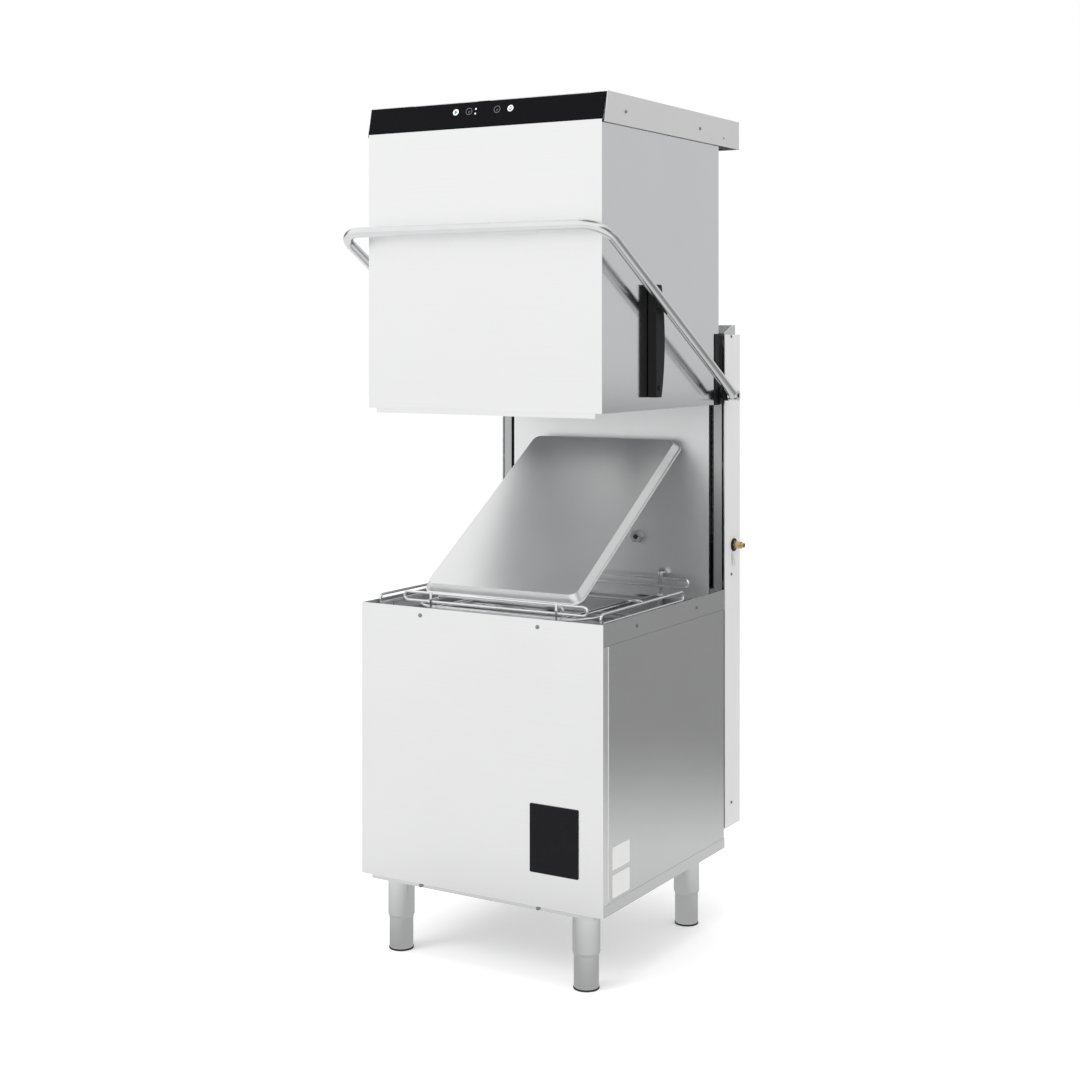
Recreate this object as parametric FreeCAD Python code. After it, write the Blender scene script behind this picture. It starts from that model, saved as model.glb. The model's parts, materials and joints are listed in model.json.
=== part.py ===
import FreeCAD, Part
import math
import os

# Hood-type warewashing machine, shown with its hood raised.
# X runs to the right, Y to the back from the cabinet's front face, Z up from the floor.
# All lengths are millimetres.

V = FreeCAD.Vector

# ---- driving dimensions -----------------------------------------------------------------
BASE_W = 686.0            # cabinet width
BASE_D = 656.0            # cabinet depth
TABLE_H = 864.0           # height of the cabinet's rim, level with dish tables
BASE_UNDERSIDE = 190.0    # lower edge of the front panel
SHEET = 1.5               # stainless sheet
PLATE = 3.0               # thicker plate for frame parts
RIM_BAND_H = 51.0         # seam below the rim
SILL_H = 27.0             # seam above the lower edge
CORNER_RETURN = 25.0      # front panel wraps this far round each corner
SEAM = 1.0                # gap between neighbouring panels
PLINTH_DROP = 10.0        # recessed strip below the front panel
PLINTH_INSET_X = 28.0
PLINTH_INSET_Y = 5.0

LEG_D = 66.0              # upper leg tube
LEG_WALL = 3.0
LEG_END_Z = 80.0          # lower end of the upper leg tube
LEG_INSET = 78.0          # leg centre from the cabinet's side
LEG_FRONT_Y = 60.0
LEG_REAR_Y = 590.0
FOOT_GAP = 0.3            # foot to leg tube, all round
FOOT_OVERLAP = 50.0       # foot inside the leg tube

LEDGE_DROP = 27.5         # gutter below the rim
LEDGE_X = 43.0            # gutter width at the sides
LEDGE_FRONT = 45.0
LEDGE_REAR = 16.0
TANK_FLOOR = 610.0
SUMP_SIZE = 160.0
SUMP_DEPTH = 88.0
SUMP_X = 140.0
SUMP_Y = 200.0

HOOD_GAP_X = 11.0         # hood side to cabinet side
HOOD_FRONT = 14.0
HOOD_REAR_GAP = 13.0
HOOD_SHUT_DROP = 6.0      # shut hood's edge below the rim
HOOD_TRAVEL = 490.0
HOOD_H = 680.0
HOOD_HEM = 12.0
LIP_H = 12.0
LIP_INSET = 20.0
FASCIA_H = 67.0           # control fascia, measured straight up
FASCIA_TILT = 16.0        # degrees back from vertical
FASCIA_T = 4.0
CAP_SIDE = 6.0            # cap side flange outside the hood side
CAP_SKIRT_H = 73.0
CAP_FRONT = 32.0
CAP_REAR = 758.0

WALL_Y = 652.0            # front face of the fixed back wall
WALL_SIDE_GAP = 12.0      # slot each side of the back wall, for the hood's carriage
COLUMN_W = 23.0
COLUMN_D = 44.0
COLUMN_TOP = 1534.0
COLUMN_FOOT = 240.0
DUCT_TOP = 1555.0
COVER_BACK = 751.0

PIVOT_Y = 651.0
PIVOT_Z = 1372.0
HANDLE_X = 372.0          # centre of each handle arm
HANDLE_D = 25.0
HANDLE_WALL = 2.0
HANDLE_BEND = 58.0
ARM_LENGTH = 814.0
ARM_RISE = 30.2           # degrees above level with the hood raised
PIN_D = 12.0
RUN_GAP = 0.05            # running fit, on radius
LINK_PIN_R = 455.0        # pivot to link pin, along the arm
LINK_LENGTH = 199.0
LINK_X = 334.2            # inner face of the link
LINK_W = 22.0
LINK_TAIL = 23.0          # link below its lower bolt
LINK_HEAD = 50.0          # link above its upper pin

TRACK_X = 315.0           # side rails
TRACK_LOOP_X = 262.0      # half length of the end rails
TRACK_FRONT_Y = 70.0
TRACK_REAR_Y = 608.0
RUNNER_X = 180.0
WIRE_D = 7.0
TRAY_W = 457.0
TRAY_L = 660.0
TRAY_DEPTH = 25.0
TRAY_TILT = 32.6
TRAY_SHEET = 1.6
TRAY_BEAD_R = 3.0
STOP_Z = 880.0            # wire that the tray's foot stands on
SEAT_GAP = 0.3

INLET_Y = 711.0           # water inlet through the side covers
INLET_Z = 976.0
NOZZLE_X = 89.0           # hexagonal fill nozzle on the back wall
NOZZLE_Z = 989.0
UNION_X = 170.0           # rinse pipe's union on the back wall
UNION_Z = 898.0
WALL_FOLD = 10.0

SPRAY_Y = 343.0           # spray arms turn about this vertical axis
WASH_ARM_R = 255.0
RINSE_ARM_R = 235.0
PIPE_R = 20.0
PIPE_WALL = 2.5
LOWER_PIPE_Z = 550.0
UPPER_PIPE_Z = 1470.0
RISER_Y = 700.0
PUMP_X = 0.0
PUMP_Y = 200.0
PUMP_Z = 400.0

# ---- values worked out from them --------------------------------------------------------
HALF_W = BASE_W / 2
BAND_Z = TABLE_H - RIM_BAND_H
SILL_Z = BASE_UNDERSIDE + SILL_H
LEDGE_Z = TABLE_H - LEDGE_DROP
TANK_HALF = HALF_W - LEDGE_X
TANK_REAR = BASE_D - LEDGE_REAR
HOOD_HALF = HALF_W - HOOD_GAP_X
HOOD_REAR = BASE_D - HOOD_REAR_GAP
HOOD_BOTTOM = TABLE_H - HOOD_SHUT_DROP + HOOD_TRAVEL
HOOD_TOP = HOOD_BOTTOM + HOOD_H
CAP_TOP = HOOD_TOP + FASCIA_H
CAP_HALF = HOOD_HALF + CAP_SIDE
COVER_TOP = COLUMN_TOP - 4.0
COLUMN_OUT = HOOD_HALF + 3.0
COLUMN_IN = COLUMN_OUT - COLUMN_W
WALL_HALF = COLUMN_IN - WALL_SIDE_GAP
WALL_TOP = HOOD_TOP - HOOD_TRAVEL - 8.0
LEG_X = HALF_W - LEG_INSET
FOOT_R = LEG_D / 2 - LEG_WALL - FOOT_GAP
RISE = math.radians(ARM_RISE)
BAR_Y = PIVOT_Y - ARM_LENGTH * math.cos(RISE)
BAR_Z = PIVOT_Z + ARM_LENGTH * math.sin(RISE)
LINK_Y = PIVOT_Y - LINK_PIN_R * math.cos(RISE)
LINK_TOP_Z = PIVOT_Z + LINK_PIN_R * math.sin(RISE)
LINK_LOW_Z = LINK_TOP_Z - LINK_LENGTH
TILT = math.radians(FASCIA_TILT)
TRAY_SLOPE = math.radians(TRAY_TILT)
TRAY_RUN = (TRAY_L - 2 * TRAY_BEAD_R) * math.cos(TRAY_SLOPE)
FOOT_BEAD_Y = WALL_Y - TRAY_BEAD_R - SEAT_GAP - TRAY_RUN
FOOT_BEAD_Z = STOP_Z + 3.0 + TRAY_BEAD_R + SEAT_GAP
# The row's origin is under the middle of the whole outline.
ORIGIN = V(0, -(BAR_Y - HANDLE_D / 2 + CAP_REAR) / 2, 0)


# ---- shape helpers ----------------------------------------------------------------------
def box(x0, x1, y0, y1, z0, z1):
    return Part.makeBox(x1 - x0, y1 - y0, z1 - z0, V(x0, y0, z0))


def wide(half, y0, y1, z0, z1):
    """A box centred on the machine's middle plane."""
    return box(-half, half, y0, y1, z0, z1)


def rod(start, end, radius):
    start, end = V(*start), V(*end)
    return Part.makeCylinder(radius, (end - start).Length, start, end - start)


def fuse(*shapes):
    return shapes[0].multiFuse(list(shapes[1:])).removeSplitter()


def mirrored(shape):
    return shape.mirror(V(0, 0, 0), V(1, 0, 0))


def both_sides(shape):
    return Part.makeCompound([shape, mirrored(shape)])


def outline(points, depth):
    """A flat plate: the closed outline pushed along depth."""
    wire = Part.makePolygon([V(*p) for p in points] + [V(*points[0])])
    return Part.Face(wire).extrude(V(*depth))


def hexagon(start, end, across):
    """A hexagonal bar along Y."""
    corner = across / math.sqrt(3)
    angles = [math.radians(60 * i) for i in range(6)]
    points = [(start[0] + corner * math.cos(a), start[1], start[2] + corner * math.sin(a)) for a in angles]
    return outline(points, (0, end[1] - start[1], 0))


def ring_face(centre, normal, radius, inner):
    face = Part.Face(Part.Wire(Part.makeCircle(radius, centre, normal)))
    if inner:
        face = face.cut(Part.Face(Part.Wire(Part.makeCircle(inner, centre, normal)))).Faces[0]
    return face


def bent(points, bend, radius, inner=0.0, closed=False):
    """A round wire or tube along straight runs joined by tangent arcs."""
    points = [V(*p) for p in points]
    count = len(points)
    corners = range(count) if closed else range(1, count - 1)
    leave, reach, pieces = {}, {}, []
    for i in corners:
        before, here, after = points[i - 1], points[i], points[(i + 1) % count]
        inward, outward = (here - before).normalize(), (after - here).normalize()
        turn = inward.getAngle(outward)
        cut_back = bend * math.tan(turn / 2)
        reach[i], leave[i] = here - inward * cut_back, here + outward * cut_back
        axis = inward.cross(outward).normalize()
        centre = reach[i] + axis.cross(inward) * bend
        face = ring_face(reach[i], inward, radius, inner)
        pieces.append(face.revolve(centre, axis, math.degrees(turn)))
    for i in range(count if closed else count - 1):
        start = leave.get(i, points[i])
        end = reach.get((i + 1) % count, points[(i + 1) % count])
        if (end - start).Length > 0.01:
            pieces.append(ring_face(start, end - start, radius, inner).extrude(end - start))
    return fuse(*pieces)


def mitred(points, radius, wall):
    """A moulded pipe with tight corners."""
    def run(r, ends):
        solids = [rod(a, b, r) for a, b in zip(ends, ends[1:])]
        solids += [Part.makeSphere(r, V(*p)) for p in ends[1:-1]]
        return fuse(*solids) if len(solids) > 1 else solids[0]
    return run(radius, points).cut(run(radius - wall, points))


def save(name, shape):
    moved = shape.copy()
    moved.translate(ORIGIN)
    solids = moved.Solids
    if not solids or not all(s.isValid() and s.isClosed() for s in solids):
        raise ValueError(name + " is not a closed solid")
    result = solids[0] if len(solids) == 1 else Part.makeCompound(solids)
    result.exportStep("parts/" + name + ".step")


# ---- cabinet ----------------------------------------------------------------------------
def base_frame():
    """Welded bottom frame: sill band, floor flange, recessed plinth strip and leg plates."""
    front = SHEET
    band = wide(HALF_W, front, BASE_D, BASE_UNDERSIDE, SILL_Z)
    band = band.cut(wide(HALF_W - 2, front + 2, BASE_D - 2, BASE_UNDERSIDE, SILL_Z))
    flange = wide(HALF_W - 2, front + 2, BASE_D - 2, BASE_UNDERSIDE, BASE_UNDERSIDE + PLATE)
    flange = flange.cut(wide(HALF_W - 120, 120, BASE_D - 120, BASE_UNDERSIDE, BASE_UNDERSIDE + PLATE))
    strip_x, strip_rear = HALF_W - PLINTH_INSET_X, BASE_D - PLINTH_INSET_X
    low = BASE_UNDERSIDE - PLINTH_DROP
    strip = wide(strip_x, PLINTH_INSET_Y, strip_rear, low, BASE_UNDERSIDE)
    strip = strip.cut(wide(strip_x - PLATE, PLINTH_INSET_Y + PLATE, strip_rear - PLATE, low, BASE_UNDERSIDE))
    tray = wide(150, 100, 560, BASE_UNDERSIDE, BASE_UNDERSIDE + PLATE)
    tie = wide(HALF_W - 100, 290, 330, BASE_UNDERSIDE, BASE_UNDERSIDE + PLATE)
    drain_hole = rod((290, 480, BASE_UNDERSIDE - 1), (290, 480, BASE_UNDERSIDE + PLATE + 1), 17)
    return fuse(band, flange, strip, tray, tie).cut(drain_hole)


def front_panel():
    face = wide(HALF_W, 0, SHEET, BASE_UNDERSIDE, TABLE_H)
    side = box(HALF_W - SHEET, HALF_W, 0, CORNER_RETURN, SILL_Z + SEAM / 2, BAND_Z - SEAM / 2)
    return fuse(face, side, mirrored(side))


def side_panel():
    z0, z1 = SILL_Z + SEAM / 2, BAND_Z - SEAM / 2
    y0, y1 = CORNER_RETURN + SEAM, BASE_D - 4
    skin = box(HALF_W - SHEET, HALF_W, y0, y1, z0, z1)
    fold = box(HALF_W - 12, HALF_W, y0, y0 + SHEET, z0, z1)
    rear_fold = box(HALF_W - 12, HALF_W, y1 - SHEET, y1, z0, z1)
    return fuse(skin, fold, rear_fold)


def pipe_hole(x, z, radius, y0, y1):
    return rod((x, y0, z), (x, y1, z), radius)


def rear_panel():
    plate = wide(HALF_W - 14, BASE_D - SHEET, BASE_D, SILL_Z, BAND_Z)
    holes = [pipe_hole(0, LOWER_PIPE_Z, PIPE_R + 1, 600, 700), pipe_hole(250, 450, 8, 600, 700),
             pipe_hole(120, 535, 8, 600, 700), pipe_hole(190, 535, 8, 600, 700)]
    return plate.cut(Part.makeCompound(holes))


def tank_rim():
    """Upper band round the cabinet with the gutter that the shut hood stands in."""
    front = SHEET
    band = wide(HALF_W, front, BASE_D, BAND_Z, TABLE_H)
    band = band.cut(wide(HALF_W - SHEET, front + SHEET, BASE_D - SHEET, BAND_Z, TABLE_H))
    ledge = wide(HALF_W - SHEET, front + SHEET, BASE_D - SHEET, LEDGE_Z - SHEET, LEDGE_Z)
    ledge = ledge.cut(wide(TANK_HALF, LEDGE_FRONT, TANK_REAR, LEDGE_Z - SHEET, LEDGE_Z))
    return fuse(band, ledge)


def wash_tank():
    top = LEDGE_Z - SHEET
    outer = wide(TANK_HALF + SHEET, LEDGE_FRONT - SHEET, TANK_REAR + SHEET, TANK_FLOOR - SHEET, top)
    inner = wide(TANK_HALF, LEDGE_FRONT, TANK_REAR, TANK_FLOOR, top)
    half = SUMP_SIZE / 2
    sump = box(SUMP_X - half - SHEET, SUMP_X + half + SHEET, SUMP_Y - half - SHEET, SUMP_Y + half + SHEET,
               TANK_FLOOR - SUMP_DEPTH - SHEET, TANK_FLOOR)
    well = box(SUMP_X - half, SUMP_X + half, SUMP_Y - half, SUMP_Y + half,
               TANK_FLOOR - SUMP_DEPTH, TANK_FLOOR)
    lug = box(TANK_HALF - 12, TANK_HALF, LEDGE_FRONT, TANK_REAR, 762, 770)
    tank = fuse(outer.cut(inner), sump).cut(well)
    tank = fuse(tank, lug, mirrored(lug))
    holes = [rod((0, SPRAY_Y, 600), (0, SPRAY_Y, 620), PIPE_R + RUN_GAP),
             rod((SUMP_X, SUMP_Y, 515), (SUMP_X, SUMP_Y, 530), PIPE_R),
             rod((230, 560, 600), (230, 560, 620), 16)]
    return tank.cut(Part.makeCompound(holes))


def leg_tubes():
    legs = []
    top = BASE_UNDERSIDE
    for x in (-LEG_X, LEG_X):
        for y in (LEG_FRONT_Y, LEG_REAR_Y):
            tube = rod((x, y, LEG_END_Z + 7), (x, y, top), LEG_D / 2)
            nose = Part.makeCone(LEG_D / 2 - 2.4, LEG_D / 2, 7, V(x, y, LEG_END_Z))
            bore = rod((x, y, LEG_END_Z), (x, y, top - 6), LEG_D / 2 - LEG_WALL)
            legs.append(fuse(tube, nose).cut(bore))
    return Part.makeCompound(legs)


def foot(x, y):
    body = rod((x, y, 4), (x, y, LEG_END_Z + FOOT_OVERLAP), FOOT_R)
    glide = rod((x, y, 0), (x, y, 4), FOOT_R - 1.5)
    bore = rod((x, y, 30), (x, y, LEG_END_Z + FOOT_OVERLAP), FOOT_R - 6)
    return fuse(body, glide).cut(bore)


def name_plate():
    plate = box(147, 278, -2, 0, 270, 431)
    edges = [e for e in plate.Edges if abs(e.Vertexes[0].Y - e.Vertexes[1].Y) > 1]
    return plate.makeFillet(3, edges)


def screw_head(centre, direction, radius=5.0, height=2.4):
    head = Part.makeCylinder(radius, height, V(*centre), V(*direction))
    rim = [e for e in head.Edges if e.Curve.TypeId == "Part::GeomCircle"]
    far = max(rim, key=lambda e: e.Curve.Center.dot(V(*direction)))
    return head.makeFillet(1.6, [far])


def panel_screws():
    heads = [screw_head((x, 0, TABLE_H - 19), (0, -1, 0)) for x in (-167, 167)]
    heads += [screw_head((x, PLINTH_INSET_Y, BASE_UNDERSIDE - 5), (0, -1, 0), 4.5, 5) for x in (-167, 167)]
    for side in (-1, 1):
        heads += [screw_head((side * HALF_W, y, TABLE_H - 24), (side, 0, 0)) for y in (164, 488)]
        heads += [screw_head((side * (HALF_W + 0.5), 696, z), (side, 0, 0), 4)
                  for z in (COLUMN_TOP - 9, 900, 300)]
    return Part.makeCompound(heads)


# ---- rear: columns, back wall, covers ---------------------------------------------------
def column_frame():
    """Two posts behind the cabinet, joined by a spring beam near the top and a tie below."""
    post = box(COLUMN_IN, COLUMN_OUT, BASE_D, BASE_D + COLUMN_D, COLUMN_FOOT, COLUMN_TOP)
    hollow = box(COLUMN_IN + 2, COLUMN_OUT - 2, BASE_D + 2, BASE_D + COLUMN_D - 2, COLUMN_FOOT, COLUMN_TOP)
    post = post.cut(hollow)
    beam = wide(COLUMN_IN, BASE_D + 30, BASE_D + COLUMN_D, COLUMN_TOP - 22, COLUMN_TOP - 10)
    tie = wide(COLUMN_IN, BASE_D + 4, BASE_D + COLUMN_D, COLUMN_FOOT, COLUMN_FOOT + PLATE)
    hook = rod((285, BASE_D + 22, COLUMN_TOP - 16), (285, BASE_D + 30, COLUMN_TOP - 16), 4)
    return fuse(post, mirrored(post), beam, tie, hook, mirrored(hook))


def back_wall():
    skin = wide(WALL_HALF, WALL_Y, WALL_Y + SHEET, LEDGE_Z, WALL_TOP)
    fold = box(WALL_HALF - SHEET, WALL_HALF, WALL_Y, WALL_Y + WALL_FOLD, TABLE_H + 4, WALL_TOP)
    top = wide(WALL_HALF, WALL_Y, WALL_Y + 28, WALL_TOP - SHEET, WALL_TOP)
    holes = [pipe_hole(0, UPPER_PIPE_Z, PIPE_R + 1, 640, 670), pipe_hole(UNION_X, UNION_Z, 8, 640, 670),
             pipe_hole(NOZZLE_X, NOZZLE_Z, 8, 640, 670)]
    return fuse(skin, fold, mirrored(fold), top).cut(Part.makeCompound(holes))


def guide_strips():
    """Black wear strips lining the slot that the hood's carriage runs in."""
    inner = box(WALL_HALF, WALL_HALF + 2.5, WALL_Y, WALL_Y + WALL_FOLD, TABLE_H + 4, WALL_TOP)
    outer = box(COLUMN_IN - 2.5, COLUMN_IN, WALL_Y + 4, WALL_Y + 24, TABLE_H + 4, WALL_TOP)
    return Part.makeCompound([inner, outer, mirrored(inner), mirrored(outer)])


def both(solids):
    return solids + [mirrored(s) for s in solids]


def rear_duct():
    """Inner channel behind the columns: sloped cheeks and a full-height rear plate."""
    x1 = HALF_W - 1.5
    profile = [(x1 - SHEET, 658, 860), (x1 - SHEET, 658, COLUMN_TOP), (x1 - SHEET, 712, DUCT_TOP),
               (x1 - SHEET, 725, DUCT_TOP), (x1 - SHEET, 725, 860)]
    inlet = rod((x1 - 5, INLET_Y, INLET_Z), (x1 + 5, INLET_Y, INLET_Z), 8)
    cheek = outline(profile, (SHEET, 0, 0)).cut(inlet)
    low = wide(x1, 723.5, 725, 860, COLUMN_TOP - 6)
    high = wide(HOOD_HALF, 723.5, 725, COLUMN_TOP - 6, DUCT_TOP)
    web = wide(x1, 719, 723.5, 860, 862)
    lugs = [box(COLUMN_OUT, x1 - SHEET, BASE_D + 18, BASE_D + 36, z, z + 16) for z in (866, 1180, 1500)]
    return fuse(cheek, mirrored(cheek), low, high, web, *both(lugs))


def rear_cover():
    x1 = HALF_W + 0.5
    cheek = box(x1 - SHEET, x1, BASE_D + 2, COVER_BACK, COLUMN_FOOT, COVER_TOP)
    cheek = cheek.cut(rod((x1 - 5, INLET_Y, INLET_Z), (x1 + 5, INLET_Y, INLET_Z), 8))
    back = wide(x1, COVER_BACK - SHEET, COVER_BACK, COLUMN_FOOT, COVER_TOP)
    floor = wide(x1, BASE_D + 4, COVER_BACK, COLUMN_FOOT - SHEET, COLUMN_FOOT)
    return fuse(cheek, mirrored(cheek), back, floor)


def pivot_brackets():
    """Bracket plate on each column with the stub pin and washer that carry a handle arm."""
    x0 = COLUMN_OUT
    arm = box(x0, x0 + PLATE + 1, PIVOT_Y - 12, BASE_D + 36, PIVOT_Z - 22, PIVOT_Z + 22)
    arm = arm.cut(box(x0, x0 + 1, PIVOT_Y - 12, BASE_D, PIVOT_Z - 22, PIVOT_Z + 22))
    pin = rod((x0 + 1, PIVOT_Y, PIVOT_Z), (HANDLE_X + HANDLE_D / 2 - 2, PIVOT_Y, PIVOT_Z), PIN_D / 2)
    washer = rod((x0 + 12, PIVOT_Y, PIVOT_Z), (x0 + 20, PIVOT_Y, PIVOT_Z), 14)
    return both_sides(fuse(arm, pin, washer))


def counter_springs():
    top, low = COLUMN_TOP - 22, 1012.0
    y = BASE_D + 22
    turns = 26
    helix = Part.makeHelix((top - low - 34) / turns, top - low - 34, 12)
    start = V(12, 0, 0)
    coil = Part.Wire(helix).makePipeShell([Part.Wire(Part.makeCircle(2, start, V(0, 1, 0)))], True, True)
    coil.translate(V(285, y, low + 17))
    ends = []
    for z0, z1, r_z in ((low, low + 17, low + 17), (top - 17, top, top - 17)):
        ends.append(rod((285, y, z0), (285, y, z1), 2))
        ends.append(rod((285, y, r_z), (297, y, r_z), 2))
    return both_sides(fuse(coil, *ends))


# ---- hood -------------------------------------------------------------------------------
def hood_front():
    skin = wide(HOOD_HALF, HOOD_FRONT, HOOD_FRONT + SHEET, HOOD_BOTTOM, HOOD_TOP)
    hem = wide(HOOD_HALF - LIP_INSET, HOOD_FRONT, HOOD_FRONT + 6, HOOD_BOTTOM, HOOD_BOTTOM + SHEET)
    lip = wide(HOOD_HALF - LIP_INSET, HOOD_FRONT + 6 - SHEET, HOOD_FRONT + 6, HOOD_BOTTOM - LIP_H,
               HOOD_BOTTOM + SHEET)
    return fuse(skin, hem, lip)


def hood_side():
    y0 = HOOD_FRONT + SHEET
    skin = box(HOOD_HALF - SHEET, HOOD_HALF, y0, HOOD_REAR, HOOD_BOTTOM, HOOD_TOP)
    hem = box(HOOD_HALF - HOOD_HEM, HOOD_HALF, y0 + 6, HOOD_REAR, HOOD_BOTTOM, HOOD_BOTTOM + SHEET)
    flange = box(HOOD_HALF - 14, HOOD_HALF, HOOD_REAR - SHEET, HOOD_REAR, HOOD_BOTTOM, HOOD_TOP)
    return fuse(skin, hem, flange)


def hood_ceiling():
    z = HOOD_TOP - 8
    x1 = HOOD_HALF - SHEET
    plate = wide(x1, HOOD_FRONT + SHEET, HOOD_REAR - 3, z, z + SHEET)
    rib = wide(x1, HOOD_REAR - 5, HOOD_REAR - 3, z, HOOD_TOP)
    return fuse(plate, rib)


def hood_cap():
    """Top tray over the controls; its rear end overhangs the column cover when shut."""
    z1 = CAP_TOP
    z0 = z1 - CAP_SKIRT_H
    top = wide(CAP_HALF, CAP_FRONT, CAP_REAR, z1 - SHEET, z1)
    low_y = CAP_FRONT - CAP_SKIRT_H * math.tan(TILT) + 6
    profile = [(CAP_HALF - SHEET, low_y, z0), (CAP_HALF - SHEET, CAP_FRONT, z1),
               (CAP_HALF - SHEET, CAP_REAR, z1), (CAP_HALF - SHEET, CAP_REAR, z0)]
    skirt = outline(profile, (SHEET, 0, 0))
    skirt = skirt.cut(rod((CAP_HALF - 5, 663, z0 + 22), (CAP_HALF + 5, 663, z0 + 22), 3.2))
    rear = wide(CAP_HALF, CAP_REAR - SHEET, CAP_REAR, z0, z1)
    seat = box(HOOD_HALF, CAP_HALF - SHEET, 60, HOOD_REAR - 20, HOOD_TOP - 4, HOOD_TOP)
    return fuse(top, skirt, mirrored(skirt), rear, seat, mirrored(seat))


def on_fascia(x, up, out=0.0):
    """A point on the tilted fascia: up its slope and out along its normal."""
    front_y = CAP_FRONT - FASCIA_H * math.tan(TILT)
    y = front_y + up * math.sin(TILT) - out * math.cos(TILT)
    z = HOOD_TOP + 2 + up * math.cos(TILT) + out * math.sin(TILT)
    return (x, y, z)


BUTTON_X = 78.0
BUTTON_R = 9.5
BUTTON_UP = 41.0
BUTTON_TRAVEL = 1.5


def fascia():
    length = (FASCIA_H - 4) / math.cos(TILT)
    half = HOOD_HALF + 0.8
    corners = [on_fascia(-half, 0), on_fascia(-half, length), on_fascia(-half, length, -FASCIA_T),
               on_fascia(-half, 0, -FASCIA_T)]
    plate = outline(corners, (2 * half, 0, 0))
    holes = [rod(on_fascia(x, BUTTON_UP, 1), on_fascia(x, BUTTON_UP, -FASCIA_T - 1), BUTTON_R + 0.3)
             for x in (-BUTTON_X, BUTTON_X)]
    return plate.cut(Part.makeCompound(holes))


def push_button(x):
    cap = rod(on_fascia(x, BUTTON_UP, 0.4), on_fascia(x, BUTTON_UP, -FASCIA_T), BUTTON_R)
    stem = rod(on_fascia(x, BUTTON_UP, -FASCIA_T), on_fascia(x, BUTTON_UP, -FASCIA_T - 4), 3)
    return fuse(cap, stem)


def control_board():
    """Board and its carrier behind the fascia, with a switch under each button."""
    near = -FASCIA_T - 4 - BUTTON_TRAVEL - 0.5
    corners = [on_fascia(-150, 12, near), on_fascia(-150, 60, near), on_fascia(-150, 60, near - 4),
               on_fascia(-150, 12, near - 4)]
    board = outline(corners, (300, 0, 0))
    posts = [rod(on_fascia(x, up, -FASCIA_T), on_fascia(x, up, near), 4)
             for x in (-140, 140) for up in (18, 54)]
    return fuse(board, *posts)


def guide_shoes():
    """Black wear shoes on the hood's rear lower corners."""
    z0, z1 = HOOD_BOTTOM - 1, HOOD_BOTTOM + 184
    outer = box(HOOD_HALF, HOOD_HALF + 2.4, HOOD_REAR - 25, HOOD_REAR + 2, z0, z1)
    web = box(HOOD_HALF - 12, HOOD_HALF + 2.4, HOOD_REAR, HOOD_REAR + 2, z0, z1)
    return both_sides(fuse(outer, web))


def carriages():
    """Each carriage ties the hood through the slot to its counterbalance spring."""
    z0, z1 = HOOD_BOTTOM + 16, HOOD_BOTTOM + 150
    mid = (WALL_HALF + COLUMN_IN) / 2
    angle = box(mid - 2.5, HOOD_HALF - SHEET, HOOD_REAR - SHEET - 4, HOOD_REAR - SHEET, z0, z1)
    tongue = box(mid - 2.5, mid + 2.5, HOOD_REAR - SHEET - 4, BASE_D + 34, z0, z1)
    strap = box(mid - 2.5, mid + 2.5, BASE_D + 10, BASE_D + 34, 1000, z1)
    hook = rod((mid, BASE_D + 22, 1008), (285 - 5, BASE_D + 22, 1008), 4)
    return both_sides(fuse(angle, tongue, strap, hook))


def hood_screws():
    heads = []
    for side in (-1, 1):
        heads += [screw_head((side * CAP_HALF, y, CAP_TOP - 40), (side, 0, 0), 4) for y in (120, 520)]
        heads.append(rod((side * HOOD_HALF, LINK_Y, LINK_LOW_Z),
                         (side * (HOOD_HALF + 1.8), LINK_Y, LINK_LOW_Z), 7))
    return Part.makeCompound(heads)


# ---- handle and links -------------------------------------------------------------------
def handle():
    """One bent tube with an eye at each end and a pressed-in pin for each link."""
    path = [(HANDLE_X, PIVOT_Y, PIVOT_Z), (HANDLE_X, BAR_Y, BAR_Z),
            (-HANDLE_X, BAR_Y, BAR_Z), (-HANDLE_X, PIVOT_Y, PIVOT_Z)]
    tube = bent(path, HANDLE_BEND, HANDLE_D / 2)
    bore = bent(path, HANDLE_BEND, HANDLE_D / 2 - HANDLE_WALL)
    half = HANDLE_D / 2
    eyes, cuts = [], []
    for side in (-1, 1):
        ends = (side * (HANDLE_X - half), PIVOT_Y, PIVOT_Z), (side * (HANDLE_X + half), PIVOT_Y, PIVOT_Z)
        eyes.append(rod(*ends, half + 0.5))
        cuts.append(rod((side * (HANDLE_X - half - 1), PIVOT_Y, PIVOT_Z),
                        (side * (HANDLE_X + half + 1), PIVOT_Y, PIVOT_Z), PIN_D / 2 + RUN_GAP))
    solid = fuse(tube.cut(bore), *eyes)
    return solid.cut(Part.makeCompound(cuts + [link_pin(1), link_pin(-1)]))


def link_pin(side):
    return rod((side * (LINK_X + 5), LINK_Y, LINK_TOP_Z), (side * (HANDLE_X + 8), LINK_Y, LINK_TOP_Z), 5)


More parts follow.
